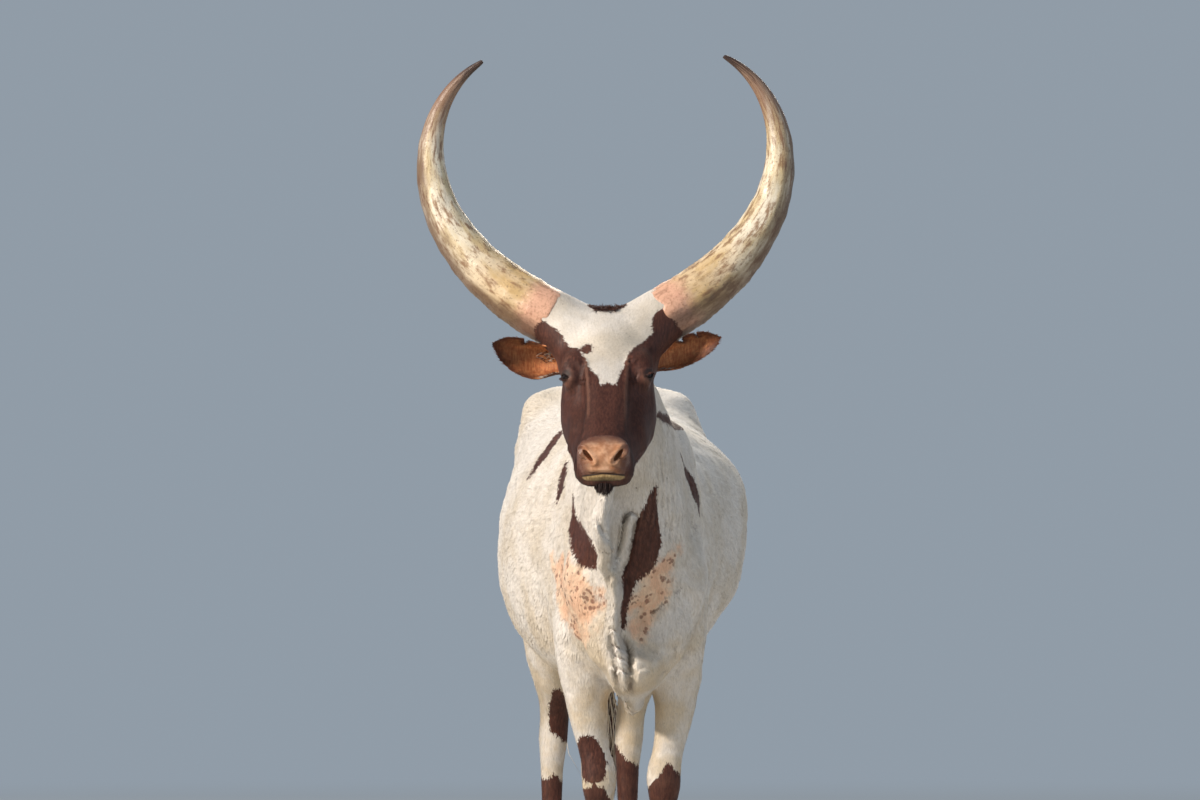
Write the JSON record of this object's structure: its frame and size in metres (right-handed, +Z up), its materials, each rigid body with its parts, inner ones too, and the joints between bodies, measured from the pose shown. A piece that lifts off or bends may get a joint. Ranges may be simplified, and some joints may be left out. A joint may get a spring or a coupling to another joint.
{
  "type": "ankole watusi cow",
  "caption": "Life-size standing long-horned cow with huge lyre-shaped horns, a hanging dewlap, notched ears and a tufted tail, as a still model.",
  "frame": {"origin": "on the floor, under the middle of the model's outline", "axes": "+Z up; -Y the way the animal faces; +X towards the animal's own left"},
  "size_m": [0.8794, 2.1008, 2.0616],
  "materials": {
    "hide_white": "short white hair",
    "ear_hide": "short reddish hair",
    "horn": "weathered keratin, satin",
    "hoof": "keratin, satin",
    "eye": "wet gloss",
    "tail_hair": "coarse hair",
    "teat_skin": "bare skin"
  },
  "bodies": {
    "root": {"torso": "hide_white", "neck": "hide_white", "head": "hide_white", "dewlap": "hide_white", "udder": "teat_skin", "tail": "hide_white", "tail_switch": "tail_hair", "horn_left": "horn", "ear_left": "ear_hide", "eye_left": "eye", "horn_right": "horn", "ear_right": "ear_hide", "eye_right": "eye", "fore_leg_left": "hide_white", "claw_fore_left_inner": "hoof", "dewclaw_fore_left_inner": "hoof", "claw_fore_left_outer": "hoof", "dewclaw_fore_left_outer": "hoof", "fore_leg_right": "hide_white", "claw_fore_right_inner": "hoof", "dewclaw_fore_right_inner": "hoof", "claw_fore_right_outer": "hoof", "dewclaw_fore_right_outer": "hoof", "hind_leg_left": "hide_white", "claw_hind_left_inner": "hoof", "dewclaw_hind_left_inner": "hoof", "claw_hind_left_outer": "hoof", "dewclaw_hind_left_outer": "hoof", "hind_leg_right": "hide_white", "claw_hind_right_inner": "hoof", "dewclaw_hind_right_inner": "hoof", "claw_hind_right_outer": "hoof", "dewclaw_hind_right_outer": "hoof"}
  },
  "joints": []
}
